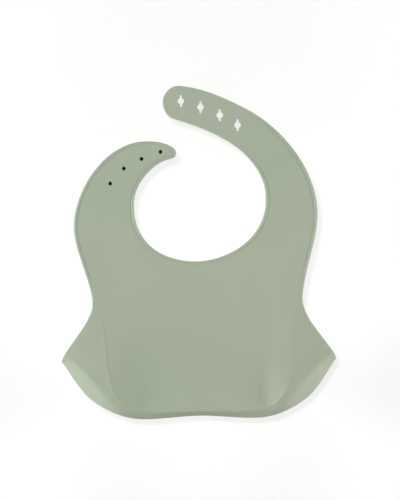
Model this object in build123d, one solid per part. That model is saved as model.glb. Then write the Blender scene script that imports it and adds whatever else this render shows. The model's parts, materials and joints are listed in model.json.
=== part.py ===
from build123d import *
import math
import os

# Silicone baby bib with a scoop pocket. Millimetres, +Z up, worn upright.
# The origin is the centre of the neck opening, in the plane of the back face.
# The back of the sheet is the plane y = 0 and the pocket bulges towards -Y.
# Flat shapes are drawn in (x, z) and pressed forward from the back face.

# ---- driving dimensions -------------------------------------------------------
SHEET_T = 2.0            # thickness of the chest panel and of both straps
WALL_T = 2.0             # thickness of the pocket walls
HINGE_R = 0.95           # rounded end of the moving side of each flex line
HINGE_GROOVE_R = 1.10    # hollow end of the fixed side of each flex line
WAIST_Z = -72.0          # height of the flex line across the waist
PANEL_AXIS_X = 4.0       # centre line of the panel and of the pocket

STUD_FLEX_DEG = [-6.0, 16.5, 42.8]                 # flex lines of the stud strap
HOLE_FLEX_DEG = [186.0, 162.0, 140.0, 111.6, 85.9]  # flex lines of the hole strap
STRAP_GAP_DEG = 66.5     # direction of the slit between the two strap tips
REACH = 200.0            # longer than any strap, for cutting wedges
FLEX_FROM_R = 36.0       # flex lines start inside the neck edge
FLEX_TO_R = 120.0        # and end outside the outer edge

STUD_PLACES = [(74.2, 13.6), (62.6, 25.9), (47.8, 33.5), (31.9, 39.0)]
STUD_CORE_R = 1.52       # moulding core, open at the back of the strap
STUD_STEM_R = 2.5
STUD_FOOT_R = 3.3        # flare where the stem meets the strap
STUD_HEAD_R = 3.9
STUD_STEM_TOP = 4.6      # depth of the stem's end in front of the back face
STUD_HEIGHT = 8.2        # depth of the top of the head
STUD_CORE_TOP = 6.4      # the core is blind

HOLE_PLACES = [(-32.5, 59.7), (-17.9, 68.3), (-2.1, 75.3), (14.1, 80.8)]
HOLE_R = 2.6             # round middle of each strap hole
SLIT_W = 1.6             # stretch slits above and below the round middle
SLIT_LEN = 10.0

POCKET_HINGE_DEPTH = 22.0  # the front wall flexes along the bottom's front edge
POCKET_GAP = 0.6           # half of the gap left along that line
FRONT_HALF_W = 62.0        # half width of the flexing middle of the pocket
SIDE_GAP = 0.4             # gap beside the flexing middle

# Outline of the chest panel and straps: x, z, heading in degrees, handle in, handle out.
# The outline runs from the stud-strap waist round both straps to the other waist.
SHEET_KNOTS = [
    (90.5, -83.6, 72.4, 0.0, 16.8),      # waist below the stud strap
    (105.4, -21.8, 91.3, 18.8, 31.1),    # widest, shoulder of the stud strap
    (45.0, 48.1, 178.6, 33.0, 16.0),     # outer edge of the stud strap
    (18.8, 37.4, 271.0, 5.5, 4.5),       # rounded tip of the stud strap
    (30.0, 31.0, 336.0, 6.0, 14.0),      # inner edge of the stud strap
    (54.9, -3.3, 272.9, 14.2, 34.6),     # neck, stud side
    (4.6, -52.5, 180.9, 26.0, 26.6),     # neck, lowest
    (-54.5, 1.1, 87.5, 35.8, 18.2),      # neck, hole side
    (-21.8, 47.9, 30.6, 22.0, 18.3),     # inner edge of the hole strap
    (20.5, 66.1, 17.6, 12.3, 6.4),       # lower corner of the hole strap's tip
    (29.2, 79.7, 87.8, 5.5, 7.4),        # rounded tip of the hole strap
    (14.3, 93.5, 187.0, 8.1, 19.6),      # upper corner of the tip
    (-42.1, 71.9, 209.6, 19.9, 33.0),    # outer edge of the hole strap
    (-97.0, -21.2, 275.7, 39.3, 20.3),   # widest, shoulder of the hole strap
    (-82.8, -83.5, 283.9, 22.8, 0.0),    # waist below the hole strap
]

# Pocket rails, right half about the panel's centre line: x, depth, z.
# Stations run from the waist, round the wing tip and the lower corner, to the middle.
CREASE = [(83.0, 0, -84), (80.0, 0, -99), (77.8, 0, -120), (76.2, 0, -142),
          (69, 0, -164.5), (50, 0, -176.3), (0, 0, -177)]
FLARE = [(84.2, 0.1, -84), (84.5, 0.2, -101), (89, 1, -126), (91.5, 0, -147),
         (83, 8, -176.5), (55, 16, -195), (0, 17, -191.5)]
BULGE = [(85.4, 0.3, -84), (89.5, 0.8, -102), (101, 4, -130), (103, 14, -157),
         (98.5, 40, -169), (59, 47, -168), (0, 47, -165)]
LIP = [(86.6, 0.5, -84), (92.6, 3, -101.8), (111.8, 10, -131.8), (112, 30, -136.5),
       (92, 43, -137), (52, 46.5, -136), (0, 47, -136.5)]
MIDDLE = len(CREASE) - 1


# ---- flat work: drawn in (x, z), then stood up --------------------------------
def heading(degrees, length):
    return Vector(math.cos(math.radians(degrees)), math.sin(math.radians(degrees))) * length


def knot_wire(knots):
    """Edges of a smooth line through the knots."""
    edges = []
    for (x0, z0, h0, _, out), (x1, z1, h1, back, _) in zip(knots, knots[1:]):
        start = Vector(x0, z0)
        end = Vector(x1, z1)
        edges.append(Bezier(start, start + heading(h0, out), end - heading(h1, back), end))
    return edges


def slab(face, depth=SHEET_T):
    return extrude(face, amount=depth)


def cutter(face):
    """A block through the sheet, longer than its thickness both ways."""
    return Pos(0, 0, -SHEET_T) * slab(face, 3 * SHEET_T)


def stand(shape):
    """Turn flat work upright: its thickness then points forward, to -Y."""
    return Rot(90, 0, 0) * shape


def wedge(from_deg, to_deg):
    """A sector about the neck centre, tall enough to cut the sheet."""
    turn = to_deg - from_deg
    steps = [from_deg + turn * i / 3 for i in range(4)]
    rim = [heading(a, 2 * REACH) for a in steps]
    return cutter(make_face(Polyline((0, 0), *rim, close=True)))


def flex_rod(start, end, radius):
    """A rod along a flex line, in the middle of the sheet."""
    middle = Vector(0, 0, SHEET_T / 2)
    line = Line(start + middle, end + middle)
    return sweep(Plane(origin=line @ 0, z_dir=line % 0) * Circle(radius), path=line)


def radial_rod(degrees, radius):
    return flex_rod(heading(degrees, FLEX_FROM_R), heading(degrees, FLEX_TO_R), radius)


def make_sheet():
    """Chest panel, straps and pocket back as one flat blank."""
    edges = knot_wire(SHEET_KNOTS)
    side = [(x + PANEL_AXIS_X, z) for x, _, z in CREASE]
    other_side = [(PANEL_AXIS_X - x, z) for x, _, z in reversed(CREASE[:-1])]
    last = Vector(*SHEET_KNOTS[-1][:2])
    first = Vector(*SHEET_KNOTS[0][:2])
    lower = Spline(*other_side[::-1][1:], *side[::-1][:-1])
    edges += [Line(last, lower @ 0), lower, Line(lower @ 1, first)]
    return slab(make_face(edges))


def strap_hole(x, z):
    slit = SlotOverall(SLIT_LEN, SLIT_W, rotation=90)
    return Pos(x, z) * cutter(slit + Circle(HOLE_R))


def stud_core(x, z):
    return Pos(x, z) * cutter(Circle(STUD_CORE_R))


def make_stud(x, z):
    """Mushroom stud on the front face, hollow from the back."""
    head_mid = (STUD_STEM_TOP + STUD_HEIGHT) / 2
    profile = [
        Line((STUD_CORE_R, SHEET_T), (STUD_FOOT_R, SHEET_T)),
        Spline((STUD_FOOT_R, SHEET_T), (STUD_STEM_R, SHEET_T + 0.9), tangents=[(-1, 0.3), (0, 1)]),
        Line((STUD_STEM_R, SHEET_T + 0.9), (STUD_STEM_R, STUD_STEM_TOP)),
        Line((STUD_STEM_R, STUD_STEM_TOP), (STUD_HEAD_R - 0.6, STUD_STEM_TOP)),
        Spline((STUD_HEAD_R - 0.6, STUD_STEM_TOP), (STUD_HEAD_R, head_mid - 0.6), (0, STUD_HEIGHT),
               tangents=[(1, 0.3), (-1, 0)]),
        Line((0, STUD_HEIGHT), (0, STUD_CORE_TOP)),
        Line((0, STUD_CORE_TOP), (STUD_CORE_R, STUD_CORE_TOP)),
        Line((STUD_CORE_R, STUD_CORE_TOP), (STUD_CORE_R, SHEET_T)),
    ]
    section = Plane.XZ * make_face(profile)
    return Pos(x, z, 0) * revolve(section, Axis.Z)


def strap_segments(sheet, flex_deg, end_deg):
    """Cut one strap at its flex lines, each piece hinged on the one before it."""
    limits = flex_deg + [end_deg]
    pieces = []
    for start, end in zip(limits, limits[1:]):
        piece = sheet & wedge(min(start, end), max(start, end))
        piece += radial_rod(start, HINGE_R) & sheet
        if end != end_deg:
            piece -= radial_rod(end, HINGE_GROOVE_R)
        pieces.append(piece)
    return pieces


# ---- pocket walls --------------------------------------------------------------
def rail_point(rail, station):
    """A smooth line through a rail's points, carried on past the middle as its mirror."""
    def control(i):
        x, depth, z = rail[i if i <= MIDDLE else 2 * MIDDLE - i]
        return Vector(x if i <= MIDDLE else -x, depth, z)

    i = min(int(station), 2 * MIDDLE - 1)
    t = station - i
    p1 = control(i)
    p2 = control(i + 1)
    p0 = control(i - 1) if i > 0 else p1 * 2 - p2
    p3 = control(i + 2) if i < 2 * MIDDLE - 1 else p2 * 2 - p1
    slope1 = (p2 - p0) / 2
    slope2 = (p3 - p1) / 2
    return (p1 * (2 * t**3 - 3 * t**2 + 1) + slope1 * (t**3 - 2 * t**2 + t)
            + p2 * (3 * t**2 - 2 * t**3) + slope2 * (t**3 - t**2))


def wall_point(station, t):
    """A point of the pocket's outer surface, from the crease (0) to the lip (1)."""
    a, b, c, d = [rail_point(rail, station) for rail in (CREASE, FLARE, BULGE, LIP)]
    p = a * (1 - t)**3 + b * 3 * (1 - t)**2 * t + c * 3 * (1 - t) * t**2 + d * t**3
    return Vector(p.X + PANEL_AXIS_X, -p.Y, p.Z)


def wall(first, last, columns, rows=14):
    """The wall between two stations, with its thickness on the inside."""
    grid = []
    for i in range(columns + 1):
        station = first + (last - first) * i / columns
        grid.append([wall_point(station, j / rows) for j in range(rows + 1)])
    outer = Face.make_surface_from_array_of_points(grid, tol=0.02)
    centre = outer.position_at(0.5, 0.5)
    inward = Vector(PANEL_AXIS_X, -15, -130) - centre
    amount = WALL_T if outer.normal_at(centre).dot(inward) > 0 else -WALL_T
    return thicken(outer, amount=amount)


def block(x0, x1, depth0, depth1, z0=-REACH, z1=-80.0):
    size = (x1 - x0, depth1 - depth0, z1 - z0)
    centre = ((x0 + x1) / 2, -(depth0 + depth1) / 2, (z0 + z1) / 2)
    return Pos(*centre) * Box(*size)


# ---- the parts --------------------------------------------------------------------
parts = {}
sheet = make_sheet()
for place in HOLE_PLACES:
    sheet -= strap_hole(*place)
for place in STUD_PLACES:
    sheet -= stud_core(*place)

stud_strap = strap_segments(sheet, STUD_FLEX_DEG, STRAP_GAP_DEG)
for name, piece in zip(("stud_strap_base", "stud_strap_middle", "stud_strap_tip"), stud_strap):
    parts[name] = stand(piece)

hole_strap = strap_segments(sheet, HOLE_FLEX_DEG, STRAP_GAP_DEG)
hole_names = ("hole_strap_base", "hole_strap_shoulder", "hole_strap_back",
              "hole_strap_holes", "hole_strap_tip")
for name, piece in zip(hole_names, hole_strap):
    parts[name] = stand(piece)

for i, place in enumerate(STUD_PLACES):
    parts[f"stud_{i + 1}"] = stand(make_stud(*place))

waist_start = Vector(-REACH, WAIST_Z)
waist_end = Vector(REACH, WAIST_Z)
above_waist = make_face(Polyline(
    (0, 0), heading(STUD_FLEX_DEG[0], REACH), (REACH, WAIST_Z),
    (-REACH, WAIST_Z), heading(HOLE_FLEX_DEG[0], REACH), close=True))
chest = sheet & cutter(above_waist)
chest -= flex_rod(waist_start, waist_end, HINGE_GROOVE_R)
chest -= radial_rod(STUD_FLEX_DEG[0], HINGE_GROOVE_R)
chest -= radial_rod(HOLE_FLEX_DEG[0], HINGE_GROOVE_R)
parts["chest_panel"] = stand(chest)

below_waist = Pos(0, WAIST_Z - REACH / 2, 0) * Box(2 * REACH, REACH, 4 * SHEET_T)
lower = (sheet & below_waist) + (flex_rod(waist_start, waist_end, HINGE_R) & sheet)
lower = stand(lower)

front_left = PANEL_AXIS_X - FRONT_HALF_W
front_right = PANEL_AXIS_X + FRONT_HALF_W
centre_wall = wall(4.0, 2 * MIDDLE - 4.0, 24)
side_right = wall(0.1, 5.2, 30) & block(front_right, REACH, -5, 80)
side_left = mirror(Pos(-PANEL_AXIS_X, 0, 0) * side_right, Plane.YZ)
side_left = Pos(PANEL_AXIS_X, 0, 0) * side_left
bottom = centre_wall & block(front_left, front_right, -5, POCKET_HINGE_DEPTH - POCKET_GAP)
front = centre_wall & block(front_left + SIDE_GAP, front_right - SIDE_GAP,
                            POCKET_HINGE_DEPTH + POCKET_GAP, 80)

lower = lower - side_right - side_left - bottom
parts["lower_panel"] = lower.solids().sort_by(SortBy.VOLUME)[-1]
parts["pocket_side_studs"] = side_right
parts["pocket_side_holes"] = side_left
parts["pocket_bottom"] = bottom
parts["pocket_front"] = front

os.makedirs("parts", exist_ok=True)
for name, shape in parts.items():
    export_step(Compound(shape.solids(), label=name), f"parts/{name}.step")
    box = shape.bounding_box()
    print(name, len(shape.solids()), round(shape.volume / 1000, 2), "cm3", box.min, box.max)
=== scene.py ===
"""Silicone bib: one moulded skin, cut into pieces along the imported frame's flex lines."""
import json
import math

import bpy
import numpy as np
from mathutils import Matrix, Vector
from mathutils.geometry import delaunay_2d_cdt


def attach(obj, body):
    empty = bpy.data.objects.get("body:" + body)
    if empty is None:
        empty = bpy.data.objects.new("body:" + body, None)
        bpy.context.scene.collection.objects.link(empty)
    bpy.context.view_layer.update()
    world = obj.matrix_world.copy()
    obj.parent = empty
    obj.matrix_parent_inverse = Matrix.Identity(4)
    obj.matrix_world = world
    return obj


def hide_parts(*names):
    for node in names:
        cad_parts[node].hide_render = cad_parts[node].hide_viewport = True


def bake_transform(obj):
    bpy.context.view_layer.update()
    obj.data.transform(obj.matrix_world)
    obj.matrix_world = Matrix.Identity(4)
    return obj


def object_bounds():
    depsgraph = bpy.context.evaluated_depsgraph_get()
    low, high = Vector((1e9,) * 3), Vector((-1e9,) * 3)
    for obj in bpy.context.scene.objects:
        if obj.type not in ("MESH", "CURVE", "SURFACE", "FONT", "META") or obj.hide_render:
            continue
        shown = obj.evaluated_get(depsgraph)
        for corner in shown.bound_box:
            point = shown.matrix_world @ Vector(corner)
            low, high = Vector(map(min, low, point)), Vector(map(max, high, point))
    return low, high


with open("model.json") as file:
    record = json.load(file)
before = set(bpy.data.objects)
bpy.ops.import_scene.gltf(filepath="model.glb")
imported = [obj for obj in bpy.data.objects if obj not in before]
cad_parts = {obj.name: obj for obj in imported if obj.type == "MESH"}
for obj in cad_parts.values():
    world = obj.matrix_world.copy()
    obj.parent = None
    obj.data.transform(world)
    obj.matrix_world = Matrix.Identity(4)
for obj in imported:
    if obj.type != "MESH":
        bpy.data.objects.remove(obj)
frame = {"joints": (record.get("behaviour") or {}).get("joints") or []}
cad_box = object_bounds()

# ---- driving dimensions, in millimetres ------------------------------------------
MM = 0.001
SHEET_T = 2.0
PANEL_AXIS_X = 4.0
SEAM_Z = -83.5           # where the flat sheet becomes the pocket
STRAP_GAP_DEG = 66.5     # direction of the slit between the strap tips
FLEX_HALF = 8.5          # half width of the bend at a strap's flex line
WAIST_HALF = 10.5        # half width of the bend at the waist
EDGE_R = 0.9             # rounding of the free edges
BEAD_H = 0.38            # height of the rim bead over each face
BEAD_W = 2.5             # width of the rim bead
BEAD_END_Z = -74         # the bead is gone below this, and full BEAD_FADE above it
BEAD_FADE = 12
PLAIN_END_X = -52        # the hole strap's end has no bead right of this, PLAIN_FADE further on
PLAIN_FADE = 9
GROOVE_H = 0.20          # depth of the fine groove inside the bead
RIM_ROWS = (0.0, 0.05, 0.16, 0.34, 0.6, 0.95, 1.35, 1.75, 2.1, 2.35, 2.55, 2.75, 3.0, 3.4)
OUTLINE_STEP = 1.3       # spacing of the points along the outline
GRID = 4.0               # spacing of the points inside the sheet
CLEAR_R = 4.2            # the inner points keep this far from a hole or core
CLEAR_SQUASH = 0.62      # and further above and below it, for the slit

HOLES = [(-32.5, 59.7), (-17.9, 68.3), (-2.1, 75.3), (14.1, 80.8)]
HOLE_R = 2.6
SLIT_HALF_W = 0.8
SLIT_LEN = 10.0
HOLE_ROWS = (0.0, 0.08, 0.25, 0.5, 0.9)
HOLE_EDGE_R = 0.45

STUDS = [(74.2, 13.6), (62.6, 25.9), (47.8, 33.5), (31.9, 39.0)]
CORE_R = 1.52
CORE_ROWS = (0.0, 0.05, 0.15, 0.35, 0.8)
CORE_EDGE_R = 0.25
CORE_TOP = 6.4           # depth of the core's end
CORE_SHOULDER = 5.9      # where its side starts to close in
HEAD_R = 3.88
HEAD_MID = 6.05          # depth of the head's widest ring
HEAD_RISE = 2.13
HEAD_EDGE = 1.38         # how far the head stands past the neck
HEAD_UNDER = 1.4
NECK_R = 2.5
NECK_FOOT = 3.1          # where the neck flares out to the sheet
FLARE_W = 1.0
FLARE_H = 1.12
BURIED = (1.05, 1.5)     # depths of the stud's foot inside the sheet, at the core and outside

# Outline of the chest and the straps: x, z, heading in degrees, handle in, handle out.
SHEET_KNOTS = [
    (91.3, SEAM_Z, 87.0, 0.0, 16.0),     # waist below the stud strap
    (105.4, -21.8, 91.3, 18.8, 31.1),    # widest, shoulder of the stud strap
    (45.0, 48.1, 178.6, 33.0, 16.0),     # outer edge of the stud strap
    (18.8, 37.4, 271.0, 5.5, 4.5),       # rounded tip of the stud strap
    (30.0, 31.0, 336.0, 6.0, 14.0),      # inner edge of the stud strap
    (54.9, -3.3, 272.9, 14.2, 34.6),     # neck, stud side
    (4.6, -52.5, 180.9, 26.0, 26.6),     # neck, lowest
    (-54.5, 1.1, 87.5, 35.8, 18.2),      # neck, hole side
    (-21.8, 47.9, 30.6, 22.0, 18.3),     # inner edge of the hole strap
    (20.5, 66.1, 17.6, 12.3, 6.4),       # lower corner of the hole strap's tip
    (29.2, 79.7, 87.8, 5.5, 7.4),        # rounded tip of the hole strap
    (14.3, 93.5, 187.0, 8.1, 19.6),      # upper corner of the tip
    (-42.1, 71.9, 209.6, 19.9, 33.0),    # outer edge of the hole strap
    (-97.0, -21.2, 275.7, 39.3, 20.3),   # widest, shoulder of the hole strap
    (-83.3, SEAM_Z, 276.0, 22.8, 0.0),   # waist below the hole strap
]

# Pocket rails, half of the pocket about the panel's centre line: x, depth, z.
# Stations: waist, upper wing, wing tip, lower side, corner, bottom lobe, middle.
BACK = [(77.0, 0, SEAM_Z), (74.8, 0, -99), (72.6, 0, -120), (70.8, 0, -141),
        (64.0, 0, -160), (47, 0, -170.5), (0, 0, -171.5)]
CREASE = [(83.0, 0, SEAM_Z), (80.0, 0, -99), (77.8, 0, -120), (76.2, 0, -142),
          (69, 0, -164.5), (50, 0, -176.3), (0, 0, -177)]
FLARE = [(84.2, 0.0, SEAM_Z), (84.5, 0.1, -101), (89, 0.4, -126), (92, 0, -147),
         (84, 8, -178.5), (55, 13, -197), (0, 13.5, -192)]
BULGE = [(85.9, 0.0, SEAM_Z), (89.5, 0.5, -102), (102, 2.5, -129.5), (106.5, 13, -158),
         (99.5, 40, -171), (59, 47, -169), (0, 47, -166)]
LIP = [(87.3, 0.0, SEAM_Z), (92.8, 2, -101.4), (112.6, 7.5, -130), (112, 30, -136.5),
       (92, 43, -137), (52, 46.5, -136), (0, 47, -136.5)]
LEAN = 0.009             # the pocket hangs a little lower on the hole side
RIDGE_H = 2.2            # rounded fold from the wing's tip to the foot of the crease
RIDGE_W = 4.5
WING_TIP = 2             # the fold's crest is at the rim at this station
CREST_FALL = 0.33        # share of its way from the crease that the crest keeps per station
RIDGE_FROM = (1.8, 0.4)  # station where the fold starts, and how many it takes to be full
RIDGE_TO = (4.4, 1.0)    # station where it ends, and how many it takes to fade
RIDGE_START = 6          # the fold fades this near to the back panel
MIDDLE = len(CREASE) - 1
DISH_DEPTH = 6.5         # how far the back panel is pushed forward low down
DISH_TOP = -95           # the dish starts here and is full DISH_RUN lower
DISH_RUN = 70
DISH_STUDS = (76, 32)    # its edge on the stud side from the panel's axis, and that slope's width
DISH_HOLES = (75, 24)
DISH_FADE = (16, 12)     # depth where the pocket's wall no longer follows, and the way there
COLUMNS = 240            # columns round the pocket, from waist to waist
WALL_ROWS = 20
CREASE_SOFT = 1.5        # how far the rounding of the crease reaches
RIB_H = 0.45             # fine raised rib along the crease, on the back
RIB_W = 1.1
POCKET_BEND_DEPTH = 14


# ---- curves ------------------------------------------------------------------------
def smooth(t):
    t = np.clip(t, 0, 1)
    return t * t * (3 - 2 * t)


def unit(degrees):
    return np.array([math.cos(math.radians(degrees)), math.sin(math.radians(degrees))])


def bezier(p0, p1, p2, p3, t):
    t = np.asarray(t)[:, None]
    return (1 - t)**3 * p0 + 3 * (1 - t)**2 * t * p1 + 3 * (1 - t) * t**2 * p2 + t**3 * p3


def outline_points():
    """Points and inward normals along the outline, from waist to waist."""
    points, normals = [], []
    for (x0, z0, h0, _, out), (x1, z1, h1, back, _) in zip(SHEET_KNOTS, SHEET_KNOTS[1:]):
        a, b = np.array([x0, z0]), np.array([x1, z1])
        line = bezier(a, a + unit(h0) * out, b - unit(h1) * back, b, np.linspace(0, 1, 400))
        run = np.concatenate([[0], np.cumsum(np.linalg.norm(np.diff(line, axis=0), axis=1))])
        turn = abs((h1 - h0 + 180) % 360 - 180)
        count = int(max(run[-1] / OUTLINE_STEP, turn / 6, 4))
        at = np.linspace(0, run[-1], count + 1)[:-1]
        points += [np.array([np.interp(s, run, line[:, 0]), np.interp(s, run, line[:, 1])]) for s in at]
        ahead = np.gradient(line, axis=0)
        for s in at:
            d = np.array([np.interp(s, run, ahead[:, 0]), np.interp(s, run, ahead[:, 1])])
            normals.append(np.array([-d[1], d[0]]) / np.linalg.norm(d))
    points.append(np.array(SHEET_KNOTS[-1][:2]))
    normals.append(np.array([1.0, 0.0]))
    normals[0] = np.array([-1.0, 0.0])
    return np.array(points), np.array(normals)


def rail(knots, station):
    """Smooth line through a rail's points, carried on past the middle as its mirror."""
    def control(i):
        x, depth, z = knots[i if i <= MIDDLE else 2 * MIDDLE - i]
        return np.array([x if i <= MIDDLE else -x, depth, z], float)

    i = min(int(station), 2 * MIDDLE - 1)
    t = station - i
    p1, p2 = control(i), control(i + 1)
    p0 = control(i - 1) if i > 0 else p2 + (p1 - p2) * (0, 0, 2)
    p3 = control(i + 2) if i < 2 * MIDDLE - 1 else p1 + (p2 - p1) * (0, 0, 2)
    m1, m2 = (p2 - p0) / 2, (p3 - p1) / 2
    return (p1 * (2 * t**3 - 3 * t**2 + 1) + m1 * (t**3 - 2 * t**2 + t)
            + p2 * (3 * t**2 - 2 * t**3) + m2 * (t**3 - t**2))


def column(station):
    """One section of the pocket, from the back panel over the crease to the lip."""
    back, crease, flare, bulge, lip = [rail(k, station) for k in (BACK, CREASE, FLARE, BULGE, LIP)]
    wall = bezier(crease, flare, bulge, lip, np.linspace(0, 1, 300))
    soft = min(CREASE_SOFT, 0.45 * np.linalg.norm(crease - back))
    run = np.concatenate([[0], np.cumsum(np.linalg.norm(np.diff(wall, axis=0), axis=1))])

    def at(s):
        return np.array([np.interp(s, run, wall[:, k]) for k in range(3)])

    before = crease + (back - crease) / np.linalg.norm(back - crease) * soft
    soft_out = min(soft, 0.3 * run[-1])
    after = at(soft_out)
    rows = [back]
    for t in np.linspace(0, 1, 7):
        rows.append((1 - t)**2 * before + 2 * (1 - t) * t * crease + t**2 * after)
    rim_in = min(RIM_ROWS[-1], run[-1] - soft_out - 0.2)
    scale = rim_in / RIM_ROWS[-1]
    for s in np.linspace(soft_out, run[-1] - rim_in, WALL_ROWS + 1)[1:]:
        rows.append(at(s))
    for d in RIM_ROWS[-2::-1]:
        rows.append(at(run[-1] - d * scale))
    distance = [99.0] * (7 + WALL_ROWS) + [d for d in RIM_ROWS[::-1]]
    x, depth, z = np.array(rows).T
    near = station if station <= MIDDLE else 2 * MIDDLE - station
    along = np.concatenate([[0], np.cumsum(np.linalg.norm(np.diff(rows, axis=0), axis=1))])
    crest = along[1] + (along[-1] - along[1]) * CREST_FALL ** (near - WING_TIP)
    fold = smooth((near - RIDGE_FROM[0]) / RIDGE_FROM[1]) * smooth((RIDGE_TO[0] - near) / RIDGE_TO[1])
    fold = fold * smooth(along / RIDGE_START)
    depth = depth - RIDGE_H * fold * np.exp(-((along - crest) / RIDGE_W)**2)
    depth = depth - RIB_H * smooth(near - 0.6) * np.exp(-((along - along[4]) / RIB_W)**2)
    z = z + LEAN * x * smooth((SEAM_Z - z) / 20)
    return np.stack([x + PANEL_AXIS_X, -depth, z], axis=1), distance


# ---- flat meshing ------------------------------------------------------------------
def inside(points, polygon):
    """Which points lie in a polygon."""
    x, z = points[:, 0][:, None], points[:, 1][:, None]
    x0, z0 = polygon[:, 0][None], polygon[:, 1][None]
    x1, z1 = np.roll(x0, -1, 1), np.roll(z0, -1, 1)
    with np.errstate(divide="ignore", invalid="ignore"):
        cross = ((z0 > z) != (z1 > z)) & (x < (x1 - x0) * (z - z0) / (z1 - z0) + x0)
    return cross.sum(axis=1) % 2 == 1


def distance_to(points, line, closed=False):
    """Distance from each point to a line of short segments."""
    a = line
    b = np.roll(line, -1, 0)
    if not closed:
        a, b = a[:-1], b[:-1]
    best = np.full(len(points), 1e9)
    for p0, p1 in zip(a, b):
        d = p1 - p0
        t = np.clip(((points - p0) @ d) / max(d @ d, 1e-12), 0, 1)
        best = np.minimum(best, np.linalg.norm(points - (p0 + t[:, None] * d), axis=1))
    return best


class Plan:
    """Points and fixed lines of a flat region, to be triangulated."""

    def __init__(self):
        self.points = []
        self.edge_d = []
        self.kind = []
        self.lines = []

    def add(self, points, edge_d=99.0, kind=0, joined=None):
        """Adds points; joined is None, "open" or "closed". Returns their numbers."""
        first = len(self.points)
        ids = list(range(first, first + len(points)))
        self.points += [tuple(p) for p in points]
        self.edge_d += list(np.broadcast_to(edge_d, len(points)))
        self.kind += [kind] * len(points)
        if joined:
            self.join(ids + ([first] if joined == "closed" else []))
        return ids

    def join(self, ids):
        self.lines += list(zip(ids, ids[1:]))

    def triangulate(self, outer, holes):
        """Triangles inside outer and outside the holes: points, edge distances, kinds, faces."""
        made = delaunay_2d_cdt([Vector(p) for p in self.points], self.lines, [], 0, 1e-6)
        new_points, faces, origin = made[0], made[2], made[3]
        points = np.array([(v.x, v.y) for v in new_points], float)
        edge_d = np.full(len(points), -1.0)
        kind = np.zeros(len(points), int)
        for i, from_ids in enumerate(origin):
            if from_ids:
                points[i] = self.points[from_ids[0]]
                edge_d[i] = self.edge_d[from_ids[0]]
                kind[i] = self.kind[from_ids[0]]
        centres = np.array([points[list(f)].mean(axis=0) for f in faces])
        keep = inside(centres, outer)
        for hole in holes:
            keep &= ~inside(centres, hole)
        kept = [list(f)[::-1] for f, k in zip(faces, keep) if k]
        return points, edge_d, kind, kept


def slit_loop(grow, count=12):
    """Outline of a strap hole, a circle with a slit above and below, grown by a distance."""
    r, w = HOLE_R + grow, SLIT_HALF_W + grow
    top = SLIT_LEN / 2 - SLIT_HALF_W
    meet = math.degrees(math.asin(w / r))
    side = [unit(a) * r for a in np.linspace(-90 + meet, 90 - meet, count)]
    cap = [np.array([0, top]) + unit(a) * w for a in np.linspace(0, 180, 9)]
    half = side + cap
    return np.array(half + [-p for p in half])


def circle_loop(radius, count=28):
    return np.array([unit(a) * radius for a in np.arange(count) * 360 / count])


def hexes(x0, x1, z0, z1, step):
    rows = []
    for k, z in enumerate(np.arange(z0, z1, step * 0.866)):
        xs = np.arange(x0 + (k % 2) * step / 2, x1, step)
        rows.append(np.stack([xs, np.full(len(xs), z)], axis=1))
    return np.concatenate(rows)


# ---- flex lines, from the frame ------------------------------------------------------
joints = {j["name"]: j for j in frame["joints"]}


def flex(name):
    """A joint's place and the direction from its parent to its child, in mm and in (x, z)."""
    j = joints[name]
    ahead = np.array([j["axis"][2], -j["axis"][0]])
    return np.array([j["pos_m"][0], j["pos_m"][2]]) / MM, ahead


def azimuth(p):
    return np.degrees(np.arctan2(p[..., 1], p[..., 0])) % 360


STUD_FLEX = ["stud_strap_root_flex", "stud_strap_middle_flex", "stud_strap_tip_flex"]
HOLE_FLEX = ["hole_strap_root_flex", "hole_strap_shoulder_flex", "hole_strap_back_flex",
             "hole_strap_holes_flex", "hole_strap_tip_flex"]
waist_z = flex("waist_flex")[0][1]
CHEST, WAIST, POCKET = 0, 1, 2
STUD_FIRST, HOLE_FIRST = 3, 3 + len(STUD_FLEX)


def middles(names):
    """Directions half way between a strap's flex lines."""
    at = [azimuth(flex(n)[0]) for n in names]
    at = [a - 360 if a > 270 else a for a in at]
    return [(a + b) / 2 for a, b in zip(at, at[1:])]


def region(p):
    """Which piece of the flat sheet a point belongs to."""
    x, z = p
    if z < waist_z + WAIST_HALF + 1:
        return WAIST
    turn = azimuth(np.array(p))
    if x > 0 and (turn < STRAP_GAP_DEG or turn > 270):
        place, ahead = flex(STUD_FLEX[0])
        if (np.array(p) - place) @ ahead < -FLEX_HALF - 1:
            return CHEST
        turn = turn - 360 if turn > 270 else turn
        return STUD_FIRST + sum(turn > m for m in middles(STUD_FLEX))
    place, ahead = flex(HOLE_FLEX[0])
    if x < 0 and (np.array(p) - place) @ ahead < -FLEX_HALF - 1 and turn > 150:
        return CHEST
    if 240 < turn:
        return CHEST
    return HOLE_FIRST + sum(turn < m for m in middles(HOLE_FLEX))


def seam_lines():
    """The lines where the sheet is cut into pieces, as pairs of points."""
    lines = [((-120, waist_z + WAIST_HALF + 1), (120, waist_z + WAIST_HALF + 1))]
    for name, sign in ((STUD_FLEX[0], 1), (HOLE_FLEX[0], -1)):
        place, ahead = flex(name)
        across = np.array([ahead[1], -ahead[0]]) * sign
        on = place - ahead * (FLEX_HALF + 1)
        lines.append((on - across * 40, on + across * 50))
    for m in middles(STUD_FLEX) + middles(HOLE_FLEX):
        lines.append((unit(m) * 35, unit(m) * 120))
    return lines


# ---- the skin: one layer first, then two with rounded edges ---------------------------
def pocket_grid():
    """Rows and columns of the pocket, evenly spaced along its rim."""
    stations = np.linspace(0, 2 * MIDDLE, 600)
    guide = np.array([(rail(CREASE, s) + rail(LIP, s)) / 2 for s in stations])
    run = np.concatenate([[0], np.cumsum(np.linalg.norm(np.diff(guide, axis=0), axis=1))])
    at = np.interp(np.linspace(0, run[-1], COLUMNS + 1), run, stations)
    made = [column(s) for s in at]
    return np.array([m[0] for m in made]), np.array(made[0][1])


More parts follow.
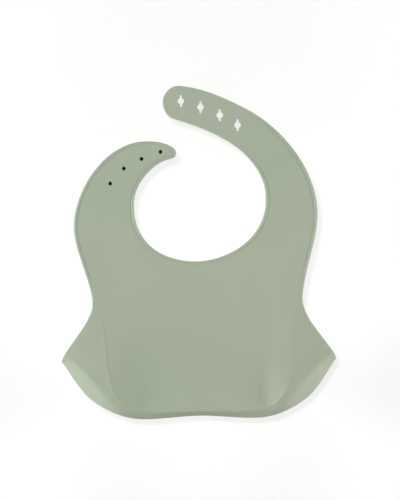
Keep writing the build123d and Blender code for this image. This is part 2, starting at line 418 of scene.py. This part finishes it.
RIM, HOLE, CORE, LIP_EDGE = 1, 2, 3, 4
grid, grid_d = pocket_grid()
outline, normals = outline_points()

seam_right = grid[0][:, [0, 2]]          # from the back panel out to the stud-side waist
seam_left = grid[-1][:, [0, 2]]
panel_right, panel_left = seam_right[0], seam_left[0]
across_count = int((panel_right[0] - panel_left[0]) / GRID)
seam_middle = np.stack([np.linspace(panel_left[0], panel_right[0], across_count + 1)[1:-1],
                        np.full(across_count - 1, SEAM_Z)], axis=1)


def sheet_layer():
    """The chest and straps."""
    plan = Plan()
    ends_right, ends_left = [], []
    for d in RIM_ROWS:
        ids = plan.add(outline + normals * d, d, RIM, "open")
        ends_right.append(ids[0])
        ends_left.append(ids[-1])
    left_in = plan.add(seam_left[::-1][len(RIM_ROWS):], 99.0, RIM)
    middle = plan.add(seam_middle)
    right_in = plan.add(seam_right[:-len(RIM_ROWS)], 99.0, RIM)
    plan.join(ends_left + left_in + middle + right_in + ends_right[::-1])
    for centres, loop, rows, kind in ((HOLES, slit_loop, HOLE_ROWS, HOLE),
                                      (STUDS, lambda g: circle_loop(CORE_R + g), CORE_ROWS, CORE)):
        for c in centres:
            for d in rows:
                plan.add(loop(d) + np.array(c), d, kind, "closed")
    holes = [slit_loop(0) + np.array(c) for c in HOLES] + [circle_loop(CORE_R) + np.array(c) for c in STUDS]
    cloud = hexes(-110, 115, SEAM_Z + 2, 100, GRID)
    cloud = cloud[inside(cloud, outline)]
    cloud = cloud[distance_to(cloud, outline) > RIM_ROWS[-1] + 1.2]
    for c in HOLES + STUDS:
        cloud = cloud[np.linalg.norm((cloud - c) * (1, CLEAR_SQUASH), axis=1) > CLEAR_R]
    plan.add(cloud)
    for a, b in seam_lines():
        plan.add([a, b], joined="open")
    points, edge_d, kind, faces = plan.triangulate(outline, holes)
    new = edge_d < 0
    edge_d[new] = distance_to(points[new], outline)
    kind[new] = RIM
    return points, edge_d, kind, faces


def panel_layer():
    """The back of the pocket, inside the crease."""
    plan = Plan()
    loop = grid[:, 0][:, [0, 2]]
    ids = plan.add(loop)
    middle = plan.add(seam_middle)
    plan.join(ids + middle + ids[:1])
    cloud = hexes(-85, 95, -176, SEAM_Z - 2, GRID)
    cloud = cloud[inside(cloud, loop)]
    plan.add(cloud[distance_to(cloud, loop, closed=True) > 2.0])
    return plan.triangulate(loop, [])


def dish(x, z):
    """How far the back panel is pushed forward of its flat plane, more towards its foot."""
    u = x - PANEL_AXIS_X
    (stud_edge, stud_slope), (hole_edge, hole_slope) = DISH_STUDS, DISH_HOLES
    across = smooth((stud_edge - u) / stud_slope) * smooth((u + hole_edge) / hole_slope)
    return DISH_DEPTH * smooth((DISH_TOP - z) / DISH_RUN) * across


def build_layer():
    """All points, edge distances, kinds, faces and the piece of each face, as one welded layer."""
    points, edge_d, kind, faces, piece = [], [], [], [], []

    def take(p3, d, k, f, which):
        first = len(points)
        points.extend(map(tuple, p3))
        edge_d.extend(d)
        kind.extend(k)
        faces.extend([[first + i for i in t] for t in f])
        piece.extend(which)

    p, d, k, f = sheet_layer()
    flat = np.stack([p[:, 0], np.zeros(len(p)), p[:, 1]], axis=1)
    take(flat, d, k, f, [region(p[t].mean(axis=0)) for t in f])
    p, d, k, f = panel_layer()
    flat = np.stack([p[:, 0], np.zeros(len(p)), p[:, 1]], axis=1)
    take(flat, np.full(len(p), 99.0), k, f, [POCKET] * len(f))
    rows = grid.shape[1]

    def at(i, j):
        return i * rows + j

    quads = [[at(i, j), at(i, j + 1), at(i + 1, j + 1), at(i + 1, j)]
             for i in range(COLUMNS) for j in range(rows - 1)]
    take(grid.reshape(-1, 3), np.tile(grid_d, COLUMNS + 1), [LIP_EDGE] * grid.shape[0] * rows,
         quads, [POCKET] * len(quads))

    points = np.array(points)
    key = np.round(points, 4)
    _, first, same = np.unique(key, axis=0, return_index=True, return_inverse=True)
    same = same.reshape(-1)
    faces = [[int(same[i]) for i in f] for f in faces]
    points, edge_d, kind = points[first], np.array(edge_d)[first], np.array(kind)[first]
    follows = smooth((points[:, 1] + DISH_FADE[0]) / DISH_FADE[1])
    points[:, 1] -= dish(points[:, 0], points[:, 2]) * follows
    return points, edge_d, kind, faces, np.array(piece)


def point_normals(points, faces):
    total = np.zeros_like(points)
    for f in faces:
        p = points[f]
        n = np.cross(p[2] - p[0], p[-1] - p[0]) + np.cross(p[1] - p[0], p[2] - p[0])
        total[f] += n
    return total / np.maximum(np.linalg.norm(total, axis=1), 1e-12)[:, None]


def bead_share(points, kind):
    """Where the rim bead is full: it fades at the waist and is absent on the hole strap's end."""
    x, z = points[:, 0], points[:, 2]
    share = smooth((z - BEAD_END_Z) / BEAD_FADE)
    turn = azimuth(points[:, [0, 2]])
    on_end = (turn > STRAP_GAP_DEG) & (turn < 160) & (z > 20)
    share = np.where(on_end, share * (1 - smooth((x - PLAIN_END_X) / PLAIN_FADE)), share)
    return np.where(kind == LIP_EDGE, 0.0, share)


def half_thickness(edge_d, kind, share):
    """Half the sheet's thickness at a distance from the free edge."""
    radius = np.select([kind == HOLE, kind == CORE], [HOLE_EDGE_R, CORE_EDGE_R], EDGE_R)
    inner = np.clip(edge_d / radius, 0, 1)
    body = SHEET_T / 2 * np.sqrt(np.clip(1 - (1 - inner)**2, 0, 1))
    bead = BEAD_H * smooth(edge_d / 0.8) * (1 - smooth((edge_d - 1.5) / (BEAD_W - 1.5)))
    groove = GROOVE_H * np.exp(-((edge_d - BEAD_W - 0.1) / 0.3)**2)
    rim = (kind == RIM) * share * (bead - groove)
    lip = (kind == LIP_EDGE) * 0.5 * bead
    return body + rim + lip


def build_skin():
    """The skin's points and normals, the faces of its outer side, the inner point that each
    outer point faces, and the piece of each face."""
    layer, edge_d, kind, faces, piece = build_layer()
    n = point_normals(layer, faces)
    half = half_thickness(edge_d, kind, bead_share(layer, kind))[:, None]
    middle = layer - n * SHEET_T / 2
    points = np.concatenate([middle + n * half, middle - n * half])
    count = len(layer)
    facing = np.where(edge_d <= 0, np.arange(count), np.arange(count) + count)
    both = faces + [[facing[i] for i in f[::-1]] for f in faces]
    return points, point_normals(points, both), faces, facing, piece


# ---- pieces -------------------------------------------------------------------------
PIECE_NAMES = ["chest_skin", "waist_skin", "pocket_skin"] + [
    name.replace("_root_flex", "_base").replace("_flex", "") + "_skin" for name in STUD_FLEX + HOLE_FLEX]


def blender_mesh(name, points, faces, corner_normals):
    mesh = bpy.data.meshes.new(name)
    mesh.from_pydata((np.asarray(points) * MM).tolist(), [], [list(map(int, f)) for f in faces])
    mesh.shade_smooth()
    mesh.normals_split_custom_set(np.asarray(corner_normals).tolist())
    piece = bpy.data.objects.new(name, mesh)
    bpy.context.scene.collection.objects.link(piece)
    piece.data.materials.append(silicone)
    return piece


def cut_piece(name, which):
    """One piece of the skin: both sides, closed along its cuts."""
    points, normals, faces, facing, piece = skin
    outer = [f for f, p in zip(faces, piece) if p == which]
    made = outer + [[facing[i] for i in f[::-1]] for f in outer]
    corner = [normals[i] for f in made for i in f]
    used = sorted({i for f in made for i in f})
    number = {i: n for n, i in enumerate(used)}
    verts = [points[i] for i in used]
    made = [[number[i] for i in f] for f in made]
    sides = [(a, b) for f in outer for a, b in zip(f, f[1:] + f[:1])]
    for a, b in set(sides) - {(b, a) for a, b in sides}:
        if facing[a] == a and facing[b] == b:
            continue
        loop = list(dict.fromkeys([b, a, facing[a], facing[b]]))
        p = [points[i] for i in loop]
        flat = np.cross(p[1] - p[0], p[2] - p[1])
        made.append(list(range(len(verts), len(verts) + len(loop))))
        verts += p
        corner += [flat / max(np.linalg.norm(flat), 1e-9)] * len(loop)
    return blender_mesh(name, verts, made, corner)


def lathe(name, profile, place, steps=36):
    """A body turned about the Y direction; profile is (radius, depth in front of the back)."""
    points, rings, faces = [], [], []
    for radius, depth in profile:
        turns = np.arange(steps) * 360 / steps if radius else [0]
        rings.append(range(len(points), len(points) + len(turns)))
        for turn in turns:
            x, z = unit(turn) * radius + place
            points.append((x, -depth, z))
    for near, far in zip(rings, rings[1:]):
        for i in range(steps):
            loop = [near[i % len(near)], far[i % len(far)],
                    far[(i + 1) % len(far)], near[(i + 1) % len(near)]]
            faces.append(list(dict.fromkeys(loop)))
    points = np.array(points)
    normals = point_normals(points, faces)
    piece = blender_mesh(name, points, faces, [normals[i] for f in faces for i in f])
    # The faces inside the core take the painted shade, a near-black material for the shade in the hole.
    piece.data.materials.append(core_shade)
    in_core = np.repeat([a[0] <= CORE_R and b[0] <= CORE_R and a[1] <= CORE_TOP
                         for a, b in zip(profile, profile[1:])], steps)
    piece.data.polygons.foreach_set("material_index", in_core.astype(np.int32))
    return piece


# ---- silicone -----------------------------------------------------------------------
SILICONE_COOL = (0.352, 0.412, 0.305)
SILICONE_WARM = (0.372, 0.420, 0.312)
# Painted shade for the inside of a stud's core: near-black colours that stand in for the shade deep in its
# hole.
CORE_SHADE_DARK = (0.010, 0.014, 0.010)
CORE_SHADE_LIGHT = (0.028, 0.036, 0.026)


def make_silicone():
    """Matte moulded silicone: a soft mottle in the colour and a fine satin grain."""
    material = bpy.data.materials.new("silicone_sage")
    material.use_nodes = True
    nodes, links = material.node_tree.nodes, material.node_tree.links
    shader = nodes["Principled BSDF"]
    place = nodes.new("ShaderNodeTexCoord")

    def noise(scale, detail, roughness):
        node = nodes.new("ShaderNodeTexNoise")
        node.inputs["Scale"].default_value = scale
        node.inputs["Detail"].default_value = detail
        node.inputs["Roughness"].default_value = roughness
        links.new(place.outputs["Object"], node.inputs["Vector"])
        return node.outputs["Fac"]

    def ramp(value, low, high, at=(0.3, 0.7)):
        node = nodes.new("ShaderNodeValToRGB")
        for element, position, colour in zip(node.color_ramp.elements, at, (low, high)):
            element.position = position
            element.color = (*colour, 1)
        links.new(value, node.inputs["Fac"])
        return node.outputs["Color"]

    cloud = ramp(noise(14, 3, 0.5), (0.985,) * 3, (1.012,) * 3)
    dust = ramp(noise(900, 2, 0.6), (0.98,) * 3, (1.015,) * 3)
    tint = ramp(noise(6, 1, 0.5), SILICONE_COOL, SILICONE_WARM)
    for factor in (cloud, dust):
        mix = nodes.new("ShaderNodeMix")
        mix.data_type = "RGBA"
        mix.blend_type = "MULTIPLY"
        mix.inputs["Factor"].default_value = 1
        links.new(tint, mix.inputs["A"])
        links.new(factor, mix.inputs["B"])
        tint = mix.outputs["Result"]
    links.new(tint, shader.inputs["Base Color"])
    links.new(ramp(noise(40, 3, 0.6), (0.44,) * 3, (0.54,) * 3), shader.inputs["Roughness"])

    grain = nodes.new("ShaderNodeBump")
    grain.inputs["Strength"].default_value = 0.12
    grain.inputs["Distance"].default_value = 0.0001
    links.new(noise(2600, 2, 0.5), grain.inputs["Height"])
    links.new(grain.outputs["Normal"], shader.inputs["Normal"])
    shader.inputs["Specular IOR Level"].default_value = 0.45
    shader.inputs["IOR"].default_value = 1.41
    shader.inputs["Sheen Weight"].default_value = 0.12
    shader.inputs["Sheen Roughness"].default_value = 0.6
    return material


def make_core_shade():
    """The inside of a stud's core: painted shade, a near-black colour that stands in for the shade in its
    hole, as next to no light comes back out of it.
    """
    material = bpy.data.materials.new("core_painted_shade")
    material.use_nodes = True
    nodes, links = material.node_tree.nodes, material.node_tree.links
    shader = nodes["Principled BSDF"]
    noise = nodes.new("ShaderNodeTexNoise")
    noise.inputs["Scale"].default_value = 700
    tint = nodes.new("ShaderNodeValToRGB")
    tint.color_ramp.elements[0].color = (*CORE_SHADE_DARK, 1)
    tint.color_ramp.elements[1].color = (*CORE_SHADE_LIGHT, 1)
    links.new(noise.outputs["Fac"], tint.inputs["Fac"])
    links.new(tint.outputs["Color"], shader.inputs["Base Color"])
    shader.inputs["Roughness"].default_value = 0.8
    shader.inputs["Specular IOR Level"].default_value = 0.1
    return material


silicone = make_silicone()
core_shade = make_core_shade()
skin = build_skin()


def bend(piece, joint, centre=None):
    """Bakes a piece's placement into its mesh; the flex line is looked up but not used."""
    j = joints[joint]
    centre = np.array(j["pos_m"]) if centre is None else centre
    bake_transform(piece)


def bend_strap(piece, joint):
    bend(piece, joint)


def stud_profile():
    """Mushroom stud, hollow from the back, starting at the middle of its head."""
    def turn(cx, cy, rx, ry, a, b, count):
        angles = np.radians(np.linspace(a, b, count))
        return [(cx + rx * math.cos(t), cy + ry * math.sin(t)) for t in angles]

    head = turn(0, HEAD_MID, HEAD_R, HEAD_RISE, 90, 0, 14)
    head += turn(NECK_R, HEAD_MID, HEAD_EDGE, HEAD_UNDER, -8, -90, 8)
    neck = [(NECK_R + 0.02, 4.6), (NECK_R, 4.4), (NECK_R, NECK_FOOT)]
    foot = turn(NECK_R + FLARE_W, NECK_FOOT, FLARE_W, FLARE_H, 188, 262, 6)
    core = [(3.3, BURIED[1]), (CORE_R, BURIED[0]), (CORE_R, BURIED[0] + 0.05),
            (CORE_R, CORE_SHOULDER), (1.3, 6.3), (1.1, CORE_TOP), (0, CORE_TOP)]
    return [(0, head[0][1])] + head[1:] + neck + foot + core


pieces = {name: cut_piece(name, k) for k, name in enumerate(PIECE_NAMES)}
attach(pieces["chest_skin"], "chest")
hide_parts("chest_panel")
bend(pieces["waist_skin"], "waist_flex")
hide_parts("lower_panel")
bend(pieces["pocket_skin"], "pocket_front_flex",
     np.array([PANEL_AXIS_X, -POCKET_BEND_DEPTH, 0]) * MM)
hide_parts("lower_panel", "pocket_bottom", "pocket_front",
            "pocket_side_studs", "pocket_side_holes")
for joint in STUD_FLEX + HOLE_FLEX:
    node = joint.replace("_root_flex", "_base").replace("_flex", "")
    piece = pieces[node + "_skin"]
    bend_strap(piece, joint)
    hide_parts(node)
for k, (place, joint) in enumerate(zip(STUDS, [STUD_FLEX[1], STUD_FLEX[1], STUD_FLEX[2], STUD_FLEX[2]])):
    name = f"stud_{k + 1}"
    piece = lathe(name + "_skin", stud_profile(), place)
    bend_strap(piece, joint)
    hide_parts(name)
    pieces[name] = piece


# ---- camera, lights and surroundings --------------------------------------------------
bpy.context.scene.view_settings.view_transform = "Standard"
DISTANCE = 2.5                              # of the camera and the lights, in m
VIEW_HEIGHT = 0.415                         # what the camera sees at that distance
AIM_X, AIM_Z = 0.00098, -0.0432             # the middle of the picture
ROLL = 1.3                                  # degrees that the camera is turned
FLOOR_DROP = 0.09                           # the floor is this far below the bib
BACKDROP_GAP = 0.075                        # clear of the pocket when the waist is bent
STAGE = 3                                   # the stage's reach to each side
FLOOR_GLOW, BACKDROP_GLOW = 0.30, 0.06
AMBIENT = 0.12
LIGHTS = [                                  # name, polar, turn, size in m, watts
    ("front", 2.5, 40, 0.08, 10),
    ("stud_side", 75, 0, 0.8, 66),
    ("hole_side", 75, 180, 0.8, 54),
    ("top", 65, 90, 0.8, 12),
    ("low", 75, -90, 0.8, 11),
    ("pocket_side", 150, 100, 0.8, 38),
]


def look_from(obj, place, target, up):
    z = (Vector(place) - Vector(target)).normalized()
    x = Vector(up).cross(z).normalized()
    obj.matrix_world = Matrix.Translation(place) @ Matrix((x, z.cross(x), z)).transposed().to_4x4()


camera_data = bpy.data.cameras.new("camera")
camera_data.sensor_width = 36
camera_data.lens = camera_data.sensor_width * DISTANCE / VIEW_HEIGHT
camera = bpy.data.objects.new("camera", camera_data)
bpy.context.scene.collection.objects.link(camera)
roll = math.radians(ROLL)
look_from(camera, (AIM_X, DISTANCE, AIM_Z), (AIM_X, 0, AIM_Z), (-math.sin(roll), 0, math.cos(roll)))
bpy.context.scene.camera = camera


def soft_light(name, place, size, watts, target=(0, -0.01, -0.06)):
    data = bpy.data.lights.new(name, "AREA")
    data.shape = "DISK"
    data.size = size
    data.energy = watts
    light = bpy.data.objects.new(name, data)
    bpy.context.scene.collection.objects.link(light)
    look_from(light, place, target, (0, 0, 1))


def around(polar, turn, distance):
    """A place round the bib: polar from the camera's direction, turn from the stud side."""
    p, t = math.radians(polar), math.radians(turn)
    side = distance * math.sin(p)
    return side * math.cos(t), distance * math.cos(p), side * math.sin(t)


for name, polar, turn, size, watts in LIGHTS:
    soft_light(name, around(polar, turn, DISTANCE), size, watts)

world = bpy.data.worlds.new("studio")
bpy.context.scene.world = world
world.use_nodes = True
wn, wl = world.node_tree.nodes, world.node_tree.links
seen = wn.new("ShaderNodeBackground")
seen.inputs["Color"].default_value = (1, 1, 1, 1)
seen.inputs["Strength"].default_value = 1.0
ambient = wn["Background"]
ambient.inputs["Color"].default_value = (1, 1, 1, 1)
ambient.inputs["Strength"].default_value = AMBIENT
path, mix = wn.new("ShaderNodeLightPath"), wn.new("ShaderNodeMixShader")
wl.new(path.outputs["Is Camera Ray"], mix.inputs["Fac"])
wl.new(ambient.outputs["Background"], mix.inputs[1])
wl.new(seen.outputs["Background"], mix.inputs[2])
wl.new(mix.outputs["Shader"], wn["World Output"].inputs["Surface"])


def stage_plane(name, corners, glow):
    """A plain white surface, clear from behind and to the lights; it glows a little in the picture."""
    mesh = bpy.data.meshes.new(name)
    mesh.from_pydata(corners, [], [[0, 1, 2, 3]])
    plane = bpy.data.objects.new(name, mesh)
    bpy.context.scene.collection.objects.link(plane)
    material = bpy.data.materials.new(name)
    material.use_nodes = True
    nodes, links = material.node_tree.nodes, material.node_tree.links
    shader = nodes["Principled BSDF"]
    shader.inputs["Base Color"].default_value = (0.9, 0.9, 0.9, 1)
    shader.inputs["Roughness"].default_value = 0.9
    shader.inputs["Specular IOR Level"].default_value = 0.1
    shader.inputs["Emission Color"].default_value = (1, 1, 1, 1)
    shader.inputs["Emission Strength"].default_value = glow
    dull, clear, choose, mix, side, path, either = [nodes.new(n) for n in (
        "ShaderNodeBsdfDiffuse", "ShaderNodeBsdfTransparent", "ShaderNodeMixShader",
        "ShaderNodeMixShader", "ShaderNodeNewGeometry", "ShaderNodeLightPath", "ShaderNodeMath")]
    either.operation = "MAXIMUM"
    dull.inputs["Color"].default_value = (0.35, 0.35, 0.35, 1)
    links.new(path.outputs["Is Camera Ray"], choose.inputs["Fac"])
    links.new(dull.outputs["BSDF"], choose.inputs[1])
    links.new(shader.outputs["BSDF"], choose.inputs[2])
    links.new(side.outputs["Backfacing"], either.inputs[0])
    links.new(path.outputs["Is Shadow Ray"], either.inputs[1])
    links.new(either.outputs["Value"], mix.inputs["Fac"])
    links.new(choose.outputs["Shader"], mix.inputs[1])
    links.new(clear.outputs["BSDF"], mix.inputs[2])
    links.new(mix.outputs["Shader"], nodes["Material Output"].inputs["Surface"])
    mesh.materials.append(material)


floor_z = cad_box[0][2] - FLOOR_DROP
back_y = cad_box[0][1] - BACKDROP_GAP
stage_plane("floor", [(-STAGE, -STAGE, floor_z), (STAGE, -STAGE, floor_z),
                      (STAGE, STAGE, floor_z), (-STAGE, STAGE, floor_z)], FLOOR_GLOW)
stage_plane("backdrop", [(-STAGE, back_y, floor_z), (-STAGE, back_y, STAGE),
                         (STAGE, back_y, STAGE), (STAGE, back_y, floor_z)], BACKDROP_GLOW)
